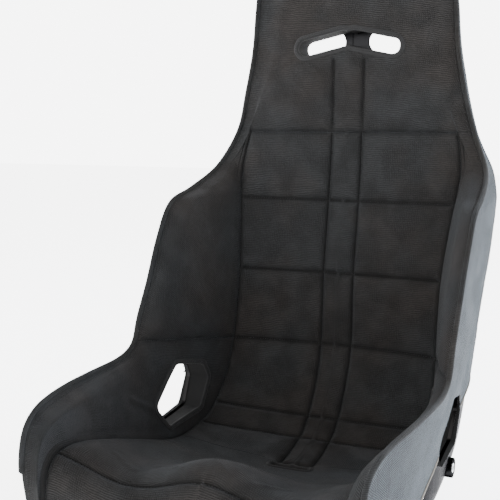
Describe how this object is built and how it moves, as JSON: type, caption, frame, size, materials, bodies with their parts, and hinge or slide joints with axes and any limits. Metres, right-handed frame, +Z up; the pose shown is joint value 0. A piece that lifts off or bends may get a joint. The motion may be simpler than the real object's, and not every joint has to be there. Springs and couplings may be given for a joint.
{
  "type": "racing seat",
  "caption": "Fixed-back bucket racing seat: black moulded shell lined with foam and quilted tweed, with shoulder harness, lap belt and crotch strap openings and threaded bushes.",
  "frame": {"origin": "centre of the four-bolt base pattern, on the mounting plane under the moulded feet", "axes": "+Z up, the seat faces -Y, +X is the driver's left"},
  "size_m": [0.494, 0.6302, 0.856],
  "materials": {
    "shell": "gloss black moulded laminate",
    "foam": "charcoal cut foam",
    "tweed": "coarse black seat tweed",
    "piping": "tweed-covered welt cord",
    "binding": "black folded tape",
    "bush": "zinc plated, turned"
  },
  "bodies": {
    "root": {"back_foam": "foam", "back_panel_left": "tweed", "back_panel_right": "tweed", "base_bushes": "bush", "centre_strip": "tweed", "crotch_binding": "binding", "edge_piping": "piping", "front_foam": "foam", "front_panel": "tweed", "harness_binding": "binding", "head_foam": "foam", "head_panel": "tweed", "head_skirt_left": "tweed", "head_skirt_right": "tweed", "hip_foam_left": "foam", "hip_foam_right": "foam", "hip_panel_left": "tweed", "hip_panel_right": "tweed", "lap_binding_left": "binding", "lap_binding_right": "binding", "outer_skirt_left": "tweed", "outer_skirt_right": "tweed", "pan_foam": "foam", "pan_panel": "tweed", "seat_shell": "shell", "side_bush_front_left": "bush", "side_bush_front_right": "bush", "side_bush_rear_left": "bush", "side_bush_rear_right": "bush", "thigh_foam_left": "foam", "thigh_foam_right": "foam", "wing_foam_left": "foam", "wing_foam_right": "foam", "wing_panel_left": "tweed", "wing_panel_right": "tweed"}
  },
  "joints": []
}
